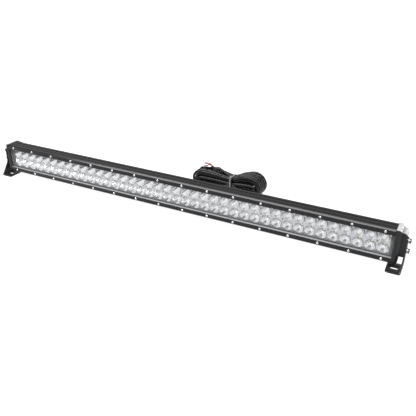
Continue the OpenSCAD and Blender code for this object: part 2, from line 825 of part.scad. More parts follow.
// The foot in plan, with the slot for a mounting stud and rounded free corners
module foot() {
    inner_x = plate_face_x - foot_w;
    depth = foot_front + foot_back;
    slot_run = foot_slot_l / 2 - foot_slot_w / 2;
    translate([0, 0, -bar_z]) difference() {
        union() {
            translate([inner_x + foot_corner_r, -foot_front, 0]) cube([foot_w - foot_corner_r, depth, plate_t]);
            translate([inner_x, -foot_front + foot_corner_r, 0]) cube([foot_w, depth - 2 * foot_corner_r, plate_t]);
            for (y = [-foot_front + foot_corner_r, foot_back - foot_corner_r])
                translate([inner_x + foot_corner_r, y, 0]) cylinder(h = plate_t, r = foot_corner_r);
        }
        for (s = [-1, 1])
            translate([foot_slot_x + s * slot_run, foot_slot_y, -cut])
                cylinder(h = plate_t + 2 * cut, r = foot_slot_w / 2);
        translate([foot_slot_x - slot_run, foot_slot_y - foot_slot_w / 2, -cut])
            cube([2 * slot_run, foot_slot_w, plate_t + 2 * cut]);
    }
}

module bracket(side) {
    color([0.07, 0.07, 0.08]) at_bar() at_end(side) difference() {
        union() {
            plate();
            foot();
            bend_fillet();
        }
        bend_outside();
        sideways(plate_x - cut, pivot_y, pivot_z, plate_t + 2 * cut, bore_r);
        curved_slot(plate_x - cut, plate_t + 2 * cut);
    }
}

module left_bracket() { bracket(-1); }
module right_bracket() { bracket(1); }

module bracket_bolt(side, z) {
    color([0.75, 0.75, 0.77]) at_bar() at_end(side) difference() {
        union() {
            sideways(boss_face_x - bolt_reach, pivot_y, z, head_x - boss_face_x + bolt_reach, bolt_r);
            sideways(head_x, pivot_y, z, bolt_head_h, bolt_head_r);
        }
        translate([head_x + hex_floor_t, pivot_y, z]) rotate([0, 90, 0]) cylinder(h = bolt_head_h, r = hex_r, $fn = 6);
    }
}

module left_pivot_bolt() { bracket_bolt(-1, pivot_z); }
module right_pivot_bolt() { bracket_bolt(1, pivot_z); }
module left_lock_bolt() { bracket_bolt(-1, lock_z); }
module right_lock_bolt() { bracket_bolt(1, lock_z); }

module washer(x0, z, r, thickness) {
    difference() {
        sideways(x0, pivot_y, z, thickness, r);
        sideways(x0 - cut, pivot_y, z, thickness + 2 * cut, bolt_r + thread_play);
    }
}

module flat_washers(side) {
    color([0.8, 0.8, 0.82]) at_bar() at_end(side)
        for (z = [pivot_z, lock_z]) washer(plate_face_x + slide_gap, z, flat_washer_r, flat_washer_t);
}

// Spring washers are split by a slanting gap
module spring_washers(side) {
    color([0.6, 0.6, 0.62]) at_bar() at_end(side)
        for (z = [pivot_z, lock_z]) difference() {
            washer(head_x - spring_washer_t, z, spring_washer_r, spring_washer_t);
            translate([head_x - spring_washer_t / 2, pivot_y, z + spring_washer_r]) rotate([0, 0, 30])
                cube([4 * spring_washer_t, washer_split_w, 2 * (spring_washer_r - 1)], center = true);
        }
}

module left_flat_washers() { flat_washers(-1); }
module right_flat_washers() { flat_washers(1); }
module left_spring_washers() { spring_washers(-1); }
module right_spring_washers() { spring_washers(1); }

/* Gland and breather vent */

module gland_bore(y0, length) {
    backward(gland_x, y0 - cut, gland_z, length + 2 * cut, gland_bore_r, gland_bore_r);
}

module gland_body() {
    color([0.1, 0.1, 0.1]) at_bar() difference() {
        union() {
            backward(gland_x, channel_back - gland_body_t, gland_z, gland_body_t + channel_wall,
                     gland_thread_r, gland_thread_r);
            translate([gland_x, channel_outer, gland_z]) rotate([-90, 0, 0])
                cylinder(h = gland_flange_t, r = gland_flange_r, $fn = 6);
        }
        gland_bore(channel_back - gland_body_t, gland_body_t + channel_wall + gland_flange_t);
    }
}

module gland_locknut() {
    color([0.12, 0.12, 0.12]) at_bar() difference() {
        translate([gland_x, channel_back - gland_locknut_t, gland_z]) rotate([-90, 0, 0])
            cylinder(h = gland_locknut_t, r = gland_locknut_r, $fn = 6);
        backward(gland_x, channel_back - gland_locknut_t - cut, gland_z, gland_locknut_t + 2 * cut,
                 gland_thread_r + thread_play, gland_thread_r + thread_play);
    }
}

// Dome nut: a hexagon that narrows to a round nose
module gland_nut() {
    color([0.1, 0.1, 0.1]) at_bar() difference() {
        union() {
            translate([gland_x, gland_nut_start, gland_z]) rotate([-90, 0, 0])
                cylinder(h = gland_nut_hex_t, r = gland_nut_r, $fn = 6);
            backward(gland_x, gland_nut_start + gland_nut_hex_t, gland_z, gland_nut_end - gland_nut_start - gland_nut_hex_t,
                     gland_nose_base_r, gland_nose_tip_r);
        }
        backward(gland_x, gland_nut_start - cut, gland_z, seal_seat + cut, gland_seal_r + slide_gap,
                 gland_seal_r + slide_gap);
        gland_bore(gland_nut_start, gland_nut_end - gland_nut_start);
    }
}

module gland_seal() {
    color([0.2, 0.2, 0.2]) at_bar() difference() {
        backward(gland_x, gland_nut_start, gland_z, seal_seat, gland_seal_r, gland_seal_r);
        gland_bore(gland_nut_start, seal_seat);
    }
}

module breather_vent() {
    color([0.15, 0.15, 0.15]) at_bar() difference() {
        union() {
            backward(vent_x, channel_back, 0, channel_wall, vent_stem_r, vent_stem_r);
            backward(vent_x, channel_outer, 0, vent_t, vent_r, vent_r - 1);
        }
        backward(vent_x, channel_back - cut, 0, channel_wall + vent_t, vent_bore_r, vent_bore_r);
    }
}

/* Cable */

// Tapered boot over the cable where it leaves the gland
module cable_boot() {
    color([0.06, 0.06, 0.06]) at_bar() difference() {
        backward(gland_x, gland_nut_end, gland_z, boot_l, gland_nose_tip_r - slide_gap, cable_r + 1);
        gland_bore(gland_nut_end, boot_l);
    }
}

module supply_cable() {
    color([0.05, 0.05, 0.05]) tube_along(supply_route, cable_r, 10, 2);
}

module hank_side_outline() {
    for (lobe = [hank_left, hank_right]) translate([lobe[0], lobe[1]]) circle(r = lobe[2]);
    polygon([
        [hank_left[0], 0], [waist_x, waist_low], [hank_right[0], 0],
        [hank_right[0], 2 * hank_right[2]], [waist_x, waist_high], [hank_left[0], 2 * hank_left[2]]
    ]);
}

module hank_top_outline() {
    ends = [hank_left[0] - hank_left[2] - cut, hank_right[0] + hank_right[2] + cut];
    polygon([
        [ends[0], -hank_half], [hank_left[0], -hank_half], [waist_x, -waist_half], [hank_right[0], -hank_half],
        [ends[1], -hank_half], [ends[1], hank_half], [hank_right[0], hank_half], [waist_x, waist_half],
        [hank_left[0], hank_half], [ends[0], hank_half]
    ]);
}

// What is left of the hank inside the tie
module tie_core(length) {
    core_low = waist_low + 1.5;
    core_high = waist_high - 1.5;
    core_half = waist_half - 1.5;
    translate([waist_x - length / 2, hank_y - core_half, core_low])
        cube([length, 2 * core_half, core_high - core_low]);
}

module tie_slab(margin) {
    translate([waist_x - tie_w / 2, hank_y - waist_half - margin, waist_low - margin])
        cube([tie_w, 2 * (waist_half + margin), waist_high - waist_low + 2 * margin]);
}

module cable_hank() {
    color([0.05, 0.05, 0.05]) difference() {
        intersection() {
            translate([0, hank_y + 2 * hank_half, 0]) rotate([90, 0, 0]) linear_extrude(4 * hank_half)
                hank_side_outline();
            translate([0, hank_y, -cut]) linear_extrude(4 * hank_right[2]) hank_top_outline();
        }
        difference() {
            tie_slab(4 * cut);
            tie_core(2 * tie_w);
        }
    }
}

module cable_tie() {
    color([0.55, 0.55, 0.55]) difference() {
        tie_slab(tie_t);
        tie_core(2 * tie_w);
    }
}

module cable_tail() {
    color([0.05, 0.05, 0.05]) tube_along(tail_route, cable_r, 10, 2);
}

// Boot that splits the cable into its two leads
module cable_breakout() {
    start = tail_route[3];
    color([0.08, 0.08, 0.08]) translate(start) rotate([0, -90, 0]) cylinder(h = breakout_l, r = breakout_r);
}

module red_lead() {
    color([0.6, 0.08, 0.06]) tube_along(red_route, lead_r, 8, 3);
}

module black_lead() {
    color([0.05, 0.05, 0.05]) tube_along(black_route, lead_r, 8, 3);
}

// A ring terminal: a crimped sleeve that carries on from the lead's end, and a flat eye
module terminal(start, turn) {
    translate(start) rotate([0, 0, 180 - turn]) difference() {
        union() {
            rotate([0, 90, 0]) cylinder(h = terminal_sleeve_l, r = terminal_sleeve_r);
            translate([terminal_sleeve_l - cut, -terminal_tongue_w / 2, -terminal_t / 2])
                cube([terminal_reach - terminal_sleeve_l, terminal_tongue_w, terminal_t]);
            translate([terminal_reach, 0, -terminal_t / 2]) cylinder(h = terminal_t, r = terminal_eye_r);
        }
        translate([terminal_reach, 0, -terminal_t]) cylinder(h = 2 * terminal_t, r = terminal_bore_r);
    }
}

module red_terminal() {
    color([0.7, 0.35, 0.3]) terminal(red_route[3], terminal_turn);
}

module black_terminal() {
    color([0.75, 0.75, 0.77]) terminal(black_route[3], -terminal_turn);
}

housing();
top_frame_strip();
bottom_frame_strip();
top_strip_screws();
bottom_strip_screws();
lens();
lens_seal();
for (i = [1:module_count]) reflector(i - 1);
reflector_screws();
for (i = [1:module_count]) led_board(i - 1);
led_emitters();
thermal_pads();
board_links();
driver_board();
driver_stands();
driver_coils();
driver_capacitors();
driver_transistors();
driver_leads();
left_end_cap();
right_end_cap();
left_cap_seal();
right_cap_seal();
left_cap_screws();
right_cap_screws();
left_bracket();
right_bracket();
left_pivot_bolt();
right_pivot_bolt();
left_lock_bolt();
right_lock_bolt();
left_flat_washers();
right_flat_washers();
left_spring_washers();
right_spring_washers();
gland_body();
gland_locknut();
gland_nut();
gland_seal();
breather_vent();
cable_boot();
supply_cable();
cable_hank();
cable_tie();
cable_tail();
cable_breakout();
red_lead();
black_lead();
red_terminal();
black_terminal();
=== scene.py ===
"""Looks of the two-row LED light bar: finishes, LED optics, fasteners and the tied supply cable."""
import math
import random

import bpy
from mathutils import Matrix, Vector


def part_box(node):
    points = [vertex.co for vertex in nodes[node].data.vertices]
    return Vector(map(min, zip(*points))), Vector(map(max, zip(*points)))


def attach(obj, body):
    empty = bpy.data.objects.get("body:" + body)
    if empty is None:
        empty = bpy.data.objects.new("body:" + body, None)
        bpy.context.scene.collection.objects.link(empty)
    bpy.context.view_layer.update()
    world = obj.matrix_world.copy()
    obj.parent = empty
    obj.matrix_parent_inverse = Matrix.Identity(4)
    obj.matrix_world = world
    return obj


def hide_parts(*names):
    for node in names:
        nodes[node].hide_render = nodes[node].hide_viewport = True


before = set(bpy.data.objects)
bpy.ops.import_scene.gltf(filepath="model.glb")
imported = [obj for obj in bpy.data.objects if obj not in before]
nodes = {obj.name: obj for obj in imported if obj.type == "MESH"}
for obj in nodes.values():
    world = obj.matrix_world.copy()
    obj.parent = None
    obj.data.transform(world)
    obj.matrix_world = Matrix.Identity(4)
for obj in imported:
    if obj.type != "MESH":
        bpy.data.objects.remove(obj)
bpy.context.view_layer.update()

MM = 0.001
BAR = "light_bar"


def mm(x, y, z):
    """A point or a size given in millimetres, in metres."""
    return Vector((x, y, z)) * MM


# ---------------------------------------------------------------- camera

camera_place = mm(603.71, -993.96, 602.81)
camera_target = mm(88.8, 0, 25.7)
camera_lens = 45.96


def add_camera():
    """The camera looks down on the bar from its right-hand front."""
    data = bpy.data.cameras.new("camera")
    data.lens = camera_lens
    data.sensor_width = 36
    data.clip_start = 0.01
    data.clip_end = 50
    camera = bpy.data.objects.new("camera", data)
    bpy.context.scene.collection.objects.link(camera)
    camera.location = camera_place
    camera.rotation_euler = (camera_target - camera_place).to_track_quat("-Z", "Y").to_euler()
    bpy.context.scene.camera = camera


add_camera()


# ---------------------------------------------------------------- working by hand, in code

def deselect_all():
    """Leaves edit mode, with nothing selected."""
    if bpy.context.object and bpy.context.object.mode != "OBJECT":
        bpy.ops.object.mode_set(mode="OBJECT")
    bpy.ops.object.select_all(action="DESELECT")


def work_on(piece):
    """Makes one piece the only selected and active one."""
    deselect_all()
    piece.select_set(True)
    bpy.context.view_layer.objects.active = piece


def pick(piece, kind, test):
    """Selects, in edit mode, the vertices, edges or faces that pass a test."""
    work_on(piece)
    bpy.ops.object.mode_set(mode="EDIT")
    bpy.ops.mesh.select_mode(type=kind)
    bpy.ops.mesh.select_all(action="DESELECT")
    bpy.ops.object.mode_set(mode="OBJECT")
    mesh = piece.data
    for part in {"VERT": mesh.vertices, "EDGE": mesh.edges, "FACE": mesh.polygons}[kind]:
        part.select = test(part)
    bpy.ops.object.mode_set(mode="EDIT")


def add_modifier(piece, kind, **settings):
    """Adds a modifier and applies it."""
    work_on(piece)
    modifier = piece.modifiers.new(kind.lower(), kind)
    for key, value in settings.items():
        setattr(modifier, key, value)
    bpy.ops.object.modifier_apply(modifier=modifier.name)


def smooth(piece, degrees=35):
    """Shades smooth across edges that are flatter than an angle."""
    work_on(piece)
    bpy.ops.object.shade_smooth_by_angle(angle=math.radians(degrees))


def copy_of(piece, name, matrix):
    """A copy with its own mesh, moved by a matrix."""
    mesh = piece.data.copy()
    mesh.transform(matrix)
    twin = bpy.data.objects.new(name, mesh)
    bpy.context.scene.collection.objects.link(twin)
    return twin


def join(pieces, name):
    """Joins pieces into the first one and names it."""
    deselect_all()
    for piece in pieces:
        piece.select_set(True)
    bpy.context.view_layer.objects.active = pieces[0]
    bpy.ops.object.join()
    pieces[0].name = name
    return pieces[0]


def face_outwards(piece):
    """Merges doubles and turns every face outwards."""
    pick(piece, "VERT", lambda vertex: True)
    bpy.ops.mesh.remove_doubles(threshold=0.001 * MM)
    bpy.ops.mesh.normals_make_consistent(inside=False)
    bpy.ops.object.mode_set(mode="OBJECT")


def turned(name, profile, sides=32):
    """A round piece on the Z axis: a disc extruded and resized through (height, radius) pairs."""
    height, radius = profile[0]
    deselect_all()
    bpy.ops.mesh.primitive_circle_add(
        vertices=sides, radius=radius * MM, fill_type="NGON", location=(0, 0, height * MM)
    )
    piece = bpy.context.object
    piece.name = name
    bpy.ops.object.transform_apply(location=True, rotation=True, scale=True)
    bpy.ops.object.mode_set(mode="EDIT")
    bpy.ops.mesh.select_all(action="SELECT")
    for next_height, next_radius in profile[1:]:
        rise = (next_height - height) * MM
        bpy.ops.mesh.extrude_region_move(TRANSFORM_OT_translate={"value": (0, 0, rise)})
        share = next_radius / radius
        bpy.ops.transform.resize(value=(share, share, 1), center_override=(0, 0, next_height * MM))
        height, radius = next_height, next_radius
    bpy.ops.object.mode_set(mode="OBJECT")
    face_outwards(piece)
    return piece


def point_along(piece, start, direction):
    """Moves a piece made on the Z axis to a start point and turns its axis to a direction."""
    turn = Vector(direction).to_track_quat("Z", "Y").to_matrix().to_4x4()
    piece.data.transform(Matrix.Translation(start) @ turn)


def finish(piece, material, replaced, body=BAR):
    """Gives a piece its material, the nodes it stands for and the body it rides on."""
    piece.data.materials.clear()
    piece.data.materials.append(material)
    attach(piece, body)
    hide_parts(*replaced)
    return piece


# ---------------------------------------------------------------- finishes

# How far the gloss of a finish varies from its mean, and the strength of its relief
gloss_swing = 0.15
relief = 0.6


def surface(name, colour, roughness, metallic=0.0, mottle=0.12, patch=60, grain=1800, bump=0.03,
            stretch=(1, 1, 1), **sockets):
    """A finish with soft colour patches, uneven gloss and a fine raised grain.

    patch and grain are the noise scales per metre, and bump is the height of the grain in millimetres.
    """
    material = bpy.data.materials.new(name)
    material.use_nodes = True
    tree = material.node_tree
    shader = tree.nodes["Principled BSDF"]
    shader.inputs["Metallic"].default_value = metallic
    for socket, value in sockets.items():
        shader.inputs[socket.replace("_", " ")].default_value = value

    place = tree.nodes.new("ShaderNodeTexCoord")
    mapping = tree.nodes.new("ShaderNodeMapping")
    mapping.inputs["Scale"].default_value = stretch
    tree.links.new(place.outputs["Object"], mapping.inputs["Vector"])

    patches = tree.nodes.new("ShaderNodeTexNoise")
    patches.inputs["Scale"].default_value = patch
    patches.inputs["Detail"].default_value = 4
    tree.links.new(mapping.outputs["Vector"], patches.inputs["Vector"])
    tint = tree.nodes.new("ShaderNodeValToRGB")
    tint.color_ramp.elements[0].position = 0.35
    tint.color_ramp.elements[1].position = 0.65
    tint.color_ramp.elements[0].color = [c * (1 - mottle) for c in colour] + [1]
    tint.color_ramp.elements[1].color = [min(1, c * (1 + mottle)) for c in colour] + [1]
    tree.links.new(patches.outputs["Fac"], tint.inputs["Fac"])
    tree.links.new(tint.outputs["Color"], shader.inputs["Base Color"])

    grains = tree.nodes.new("ShaderNodeTexNoise")
    grains.inputs["Scale"].default_value = grain
    grains.inputs["Detail"].default_value = 2
    tree.links.new(mapping.outputs["Vector"], grains.inputs["Vector"])
    gloss = tree.nodes.new("ShaderNodeMapRange")
    gloss.inputs["To Min"].default_value = roughness * (1 - gloss_swing)
    gloss.inputs["To Max"].default_value = min(1, roughness * (1 + gloss_swing))
    tree.links.new(patches.outputs["Fac"], gloss.inputs["Value"])
    tree.links.new(gloss.outputs["Result"], shader.inputs["Roughness"])
    raised = tree.nodes.new("ShaderNodeBump")
    raised.inputs["Distance"].default_value = bump * MM
    raised.inputs["Strength"].default_value = relief
    tree.links.new(grains.outputs["Fac"], raised.inputs["Height"])
    tree.links.new(raised.outputs["Normal"], shader.inputs["Normal"])
    return material


def paint_light_and_shade_by_facing(material, direction, start, full, colour):
    """Painted light and shade: a second colour on the faces that look in one direction.

    The second colour sets in where a face's normal, taken along the direction, reaches start, and it is
    full where that reaches full.
    """
    tree = material.node_tree
    shader = tree.nodes["Principled BSDF"]
    first = shader.inputs["Base Color"].links[0].from_socket
    facing = tree.nodes.new("ShaderNodeNewGeometry")
    dot = tree.nodes.new("ShaderNodeVectorMath")
    dot.operation = "DOT_PRODUCT"
    dot.inputs[1].default_value = Vector(direction)
    tree.links.new(facing.outputs["True Normal"], dot.inputs[0])
    reach = tree.nodes.new("ShaderNodeMapRange")
    reach.inputs["From Min"].default_value = start
    reach.inputs["From Max"].default_value = full
    tree.links.new(dot.outputs["Value"], reach.inputs["Value"])
    mix = tree.nodes.new("ShaderNodeMix")
    mix.data_type = "RGBA"
    # A Mix node's sockets for colours share their names with its sockets for numbers
    colour_a, colour_b, mixed_colour = mix.inputs[6], mix.inputs[7], mix.outputs[2]
    colour_b.default_value = (*colour, 1)
    tree.links.new(reach.outputs["Result"], mix.inputs["Factor"])
    tree.links.new(first, colour_a)
    tree.links.new(mixed_colour, shader.inputs["Base Color"])


def frame_finish(name):
    """Powder coat on the drawn strips of the frame."""
    return surface(name, (0.006, 0.006, 0.007), 0.22, stretch=drawn, Specular_IOR_Level=0.19)


def cap_coat_and_painted_light(side, outwards):
    """Powder coat on an end cap, with painted light: a paler grey on the faces that look up and outwards,
    standing in for the light that falls on them.
    """
    coat = surface(f"cap_black_painted_light_{side}", (0.009, 0.009, 0.010), 0.30, grain=1200, bump=0.03,
                   Specular_IOR_Level=0.20)
    # Painted light: the faces that look up and outwards are tinted pale grey, as if lit
    paint_light_and_shade_by_facing(coat, (0.45 * outwards, 0, 0.89), 0.62, 0.90, (0.30, 0.30, 0.30))
    return coat


# Drawn metal: its patches and grain are stretched along the bar
drawn = (0.05, 1, 1)
housing_black = surface("housing_black", (0.009, 0.009, 0.010), 0.32, stretch=drawn,
                        Specular_IOR_Level=0.14)
frame_black = frame_finish("frame_black")
# The top of the lower strip, which is the sill of the window, gets painted light: its faces that look up
# are paler, as a lit edge along the bottom of the window
sill_black_painted_light = frame_finish("sill_black_painted_light")
paint_light_and_shade_by_facing(sill_black_painted_light, (0, 0, 1), 0.90, 0.98, (0.20, 0.20, 0.21))
caps_with_painted_light = {"left": cap_coat_and_painted_light("left", -1), "right": cap_coat_and_painted_light("right", 1)}
bracket_black = surface("bracket_black", (0.010, 0.010, 0.011), 0.36, grain=900, bump=0.04,
                        Specular_IOR_Level=0.28)
gland_black = surface("gland_black", (0.022, 0.022, 0.024), 0.45, grain=1400, bump=0.04)

# Metallised plastic. The front face of the reflector plate gets painted shade: the faces that look
# straight to the front are darker than its cups, which dims what they reflect
chrome = surface("reflector_chrome", (0.76, 0.76, 0.765), 0.07, metallic=1, mottle=0.03, grain=120,
                 bump=0.02)
paint_light_and_shade_by_facing(chrome, (0, -1, 0), 0.985, 0.999, (0.32, 0.32, 0.325))
# Clear polycarbonate: almost all of it is see-through, and the rest is a glossy surface
lens_clear = surface("lens_clear", (0.92, 0.95, 0.98), 0.04, mottle=0.01, bump=0.002, Alpha=0.06)
seal_rubber = surface("seal_rubber", (0.020, 0.020, 0.020), 0.75, bump=0.06)
led_base = surface("led_holder", (0.015, 0.015, 0.017), 0.45)
phosphor = surface("led_yellow", (0.78, 0.73, 0.46), 0.18, mottle=0.08, patch=700, Coat_Weight=1.0)

steel = surface("stainless_steel", (0.58, 0.58, 0.60), 0.26, metallic=1, mottle=0.06, grain=2500,
                bump=0.01)
washer_steel = surface("washer_steel", (0.34, 0.34, 0.35), 0.30, metallic=1, mottle=0.08, grain=2500,
                       bump=0.01)
dark_steel = surface("dark_screws", (0.10, 0.10, 0.11), 0.35, metallic=1, mottle=0.1)

board_white = surface("board_white", (0.80, 0.81, 0.78), 0.45, mottle=0.04)
board_green = surface("board_green", (0.03, 0.16, 0.07), 0.40, mottle=0.2)
component = surface("component_dark", (0.045, 0.05, 0.07), 0.45, mottle=0.2)
pad_blue = surface("pad_blue", (0.42, 0.52, 0.62), 0.80, mottle=0.08)
link_copper = surface("link_copper", (0.80, 0.45, 0.30), 0.30, metallic=1)

cable_black = surface("cable_black", (0.003, 0.003, 0.004), 0.17, grain=700, bump=0.03,
                      Specular_IOR_Level=0.30)
lead_red = surface("lead_red", (0.06, 0.008, 0.007), 0.38, mottle=0.12)
tie_grey = surface("tie_grey", (0.13, 0.13, 0.13), 0.40, mottle=0.06)
brass = surface("tinned_brass", (0.66, 0.65, 0.62), 0.28, metallic=1, mottle=0.08)
red_metal = surface("red_crimp", (0.16, 0.030, 0.024), 0.35, mottle=0.15)


# ---------------------------------------------------------------- supply cable and its ends

cable_d = 6.5
lead_d = 3.0
# How far the lowest points of the turns stay off the floor
floor_gap = 0.05
# From the gland down to the floor, and from the hank's top to the piece that parts the leads
supply_route = [
    (-62, 16.6, 45), (-62, 42, 45), (-62, 66, 45), (-60, 84, 40), (-52, 102, 29),
    (-40, 115, 15), (-25, 124, 6), (-8, 127, 3.3), (10, 128, 3.5),
]
tail_route = [(58, 159, 48.5), (49, 161, 52.5), (40, 163, 55.2)]

# The hank: the centres of its two lobes as (x, z), the radii of their outer turns, and its waist
hank_y = 154
right_lobe = (138, 31)
left_lobe = (-2, 27)
right_outer, left_outer = 27.75, 23.75
waist_x = 82
# How much of the way from the waist to a lobe's height a turn has risen when it is half way along
shoulder_rise = 0.68
# How far a point of a turn may lie from its ideal place
looseness = 0.3
loose = random.Random(7)
# Each ring of turns: how much smaller it is in the right and the left lobe, how far its turns lean, where
# they lie from front to back in the lobes, and its top and bottom rows in the waist as (height, first y)
rings = [
    {"inset": (0, 0), "lean": 0, "lobe": [-20, -10, 0, 10, 20],
     "top": (41.6, -11.4), "bottom": (13.4, -14.6)},
    {"inset": (6.8, 4.6), "lean": 0.15, "lobe": [-15, -5, 5, 15],
     "top": (35.95, -8.1), "bottom": (19.05, -11.4)},
    {"inset": (13.6, 8.4), "lean": 0.58, "lobe": [-16, -8, 0, 8, 16],
     "top": (30.3, -13), "bottom": (24.7, -13)},
]
# The order in which the turns are wound, as (ring, place in the ring)
winding = [
    (0, 0), (0, 1), (0, 3), (0, 4),
    (1, 3), (1, 2), (1, 1), (1, 0),
    (2, 0), (2, 1), (2, 2), (2, 3), (2, 4),
    (0, 2),
]


def blend_point(a, b, c, d, t):
    """A point on the smooth curve between b and c."""
    return 0.5 * (
        2 * b + (c - a) * t + (2 * a - 5 * b + 4 * c - d) * t * t + (3 * b - a - 3 * c + d) * t ** 3
    )


def smooth_line(points, steps):
    """A smooth curve through points, with some steps between each two of them."""
    points = [Vector(point) for point in points]
    last = len(points) - 1
    line = []
    for i in range(last):
        around = [points[max(i - 1, 0)], points[i], points[i + 1], points[min(i + 2, last)]]
        line += [blend_point(*around, step / steps) for step in range(steps)]
    return line + [points[last]]


def lobe_point(lobe, radius, y, lean, degrees):
    """A point of a turn in a lobe. Turns at the back lean up and turns at the front lean down."""
    angle = math.radians(degrees)
    return (lobe[0] + radius * math.cos(angle), hank_y + y, lobe[1] + lean * y + radius * math.sin(angle))


def waist_point(ring, place, side):
    """Where a turn crosses the waist, in the top or the bottom row of its ring."""
    z, first_y = rings[ring][side]
    return (waist_x, hank_y + first_y + cable_d * place, z)


def shoulder(waist, lobe):
    """A point between the waist and a lobe, nearer to the lobe's height so that the turn is full there."""
    return (
        waist[0] + 0.5 * (lobe[0] - waist[0]),
        waist[1] + 0.5 * (lobe[1] - waist[1]),
        waist[2] + shoulder_rise * (lobe[2] - waist[2]),
    )


def loosened(points):
    """Moves the points of a turn a little, apart from those in the waist, which the tie holds."""
    return [
        point if abs(point[0] - waist_x) < 1
        else tuple(c + loose.uniform(-looseness, looseness) for c in point)
        for point in points
    ]


def hank_line():
    """The turns of the hank: along the bottom, up round the right lobe, back and down round the left."""
    points = []
    for number, (ring, place) in enumerate(winding):
        right_inset, left_inset = rings[ring]["inset"]
        y, lean = rings[ring]["lobe"][place], rings[ring]["lean"]
        low, high = waist_point(ring, place, "bottom"), waist_point(ring, place, "top")
        rise = [
            lobe_point(right_lobe, right_outer - right_inset, y, lean, angle)
            for angle in (-90, -45, 0, 45, 90)
        ]
        turn = [low, shoulder(low, rise[0]), *rise, shoulder(high, rise[-1]), high]
        if number + 1 < len(winding):
            next_ring, next_place = winding[number + 1]
            next_y, next_lean = rings[next_ring]["lobe"][next_place], rings[next_ring]["lean"]
            next_inset = rings[next_ring]["inset"][1]
            fall = []
            for share in (0, 0.25, 0.5, 0.75, 1):
                fall.append(lobe_point(
                    left_lobe, left_outer - left_inset - (next_inset - left_inset) * share,
                    y + (next_y - y) * share, lean + (next_lean - lean) * share, 90 + 180 * share,
                ))
            next_low = waist_point(next_ring, next_place, "bottom")
            turn += [shoulder(high, fall[0]), *fall, shoulder(next_low, fall[-1])]
        points += loosened(turn)
    return [(x, y, max(z, cable_d / 2 + floor_gap)) for x, y, z in points]


def make_tube(name, points, diameter):
    """A cable as a curve of one open spline, twelve-sided across."""
    curve = bpy.data.curves.new(name, "CURVE")
    curve.dimensions = "3D"
    curve.bevel_depth = diameter / 2 * MM
    curve.bevel_resolution = 4
    curve.use_fill_caps = True
    spline = curve.splines.new("POLY")
    spline.points.add(len(points) - 1)
    for spline_point, point in zip(spline.points, points):
        spline_point.co = (*(Vector(point) * MM), 1)
    spline.use_smooth = True
    piece = bpy.data.objects.new(name, curve)
    bpy.context.scene.collection.objects.link(piece)
    return piece


whole_route = smooth_line(supply_route + hank_line() + tail_route, 4)
cable_line = [(x, y, max(z, cable_d / 2)) for x, y, z in whole_route]
cable = make_tube("supply_cable_run", cable_line, cable_d)
finish(cable, cable_black, ["supply_cable", "cable_hank", "cable_tail"])


def make_boot():
    """Ribbed taper over the cable where it leaves the gland."""
    low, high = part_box("cable_boot")
    length = (high.y - low.y) / MM
    ribs = 6
    root_r, taper, groove, lip = 5.2, 0.9, 0.8, 0.35
    profile = [(0, 4.9)]
    for rib in range(ribs):
        start = length * rib / ribs
        radius = root_r - taper * rib / ribs
        profile += [
            (start + 0.3, radius),
            (start + 2.4, radius - 0.1),
            (start + 2.7, radius - groove),
            (start + 3.7, radius - groove),
        ]
    profile.append((length, cable_d / 2 + lip))
    boot = turned("cable_boot_ribbed", profile)
    centre = (low + high) / 2
    point_along(boot, (centre.x, low.y, centre.z), (0, 1, 0))
    smooth(boot)
    return finish(boot, gland_black, ["cable_boot"])


def make_tie():
    """Zip tie round the waist of the hank: a band, and a head with its cut tail."""
    centre = Vector((waist_x, hank_y, 27.5))
    half_y, half_z = 18.4, 18.0
    band_w, band_t = 3.6, 1.1
    head_w, head_l, head_h = 6.4, 6.0, 4.4
    tail_w, tail_l = 4.6, 7
    # The band is an oval pressed nearly square: 1 would be a plain oval, and 0 a square
    squareness = 0.25
    sharp = math.radians(50)
    deselect_all()
    bpy.ops.mesh.primitive_circle_add(vertices=64, radius=1, fill_type="NOTHING")
    band = bpy.context.object
    for vertex in band.data.vertices:
        c, s = vertex.co.x, vertex.co.y
        y = math.copysign(abs(c) ** squareness, c) * half_y
        z = math.copysign(abs(s) ** squareness, s) * half_z
        vertex.co = mm(-band_w / 2, y, z)
    pick(band, "EDGE", lambda edge: True)
    bpy.ops.mesh.extrude_region_move(TRANSFORM_OT_translate={"value": (band_w * MM, 0, 0)})
    bpy.ops.object.mode_set(mode="OBJECT")
    face_outwards(band)
    add_modifier(band, "SOLIDIFY", thickness=band_t * MM, offset=1)
    add_modifier(band, "BEVEL", width=0.25 * MM, segments=2, limit_method="ANGLE", angle_limit=sharp)
    deselect_all()
    head_place = mm(0, -11, half_z + head_h / 2)
    bpy.ops.mesh.primitive_cube_add(size=1, location=head_place, scale=mm(head_w, head_l, head_h))
    head = bpy.context.object
    bpy.ops.object.transform_apply(location=True, rotation=True, scale=True)
    pick(head, "FACE", lambda face: face.normal.y < -0.9)
    bpy.ops.mesh.inset(thickness=1.0 * MM)
    bpy.ops.mesh.extrude_region_move(TRANSFORM_OT_translate={"value": mm(0, 2.4, 0)})
    bpy.ops.object.mode_set(mode="OBJECT")
    add_modifier(head, "BEVEL", width=0.5 * MM, segments=3, limit_method="ANGLE", angle_limit=sharp)
    deselect_all()
    tail_place = mm(0, -16.5, half_z + 2.6)
    bpy.ops.mesh.primitive_cube_add(size=1, location=tail_place, scale=mm(tail_w, tail_l, band_t))
    tail = bpy.context.object
    bpy.ops.object.transform_apply(location=True, rotation=True, scale=True)
    add_modifier(tail, "BEVEL", width=0.3 * MM, segments=2)
    tie = join([band, head, tail], "cable_tie_band")
    tie.data.transform(Matrix.Translation(centre * MM))
    smooth(tie, 50)
    return finish(tie, tie_grey, ["cable_tie"])


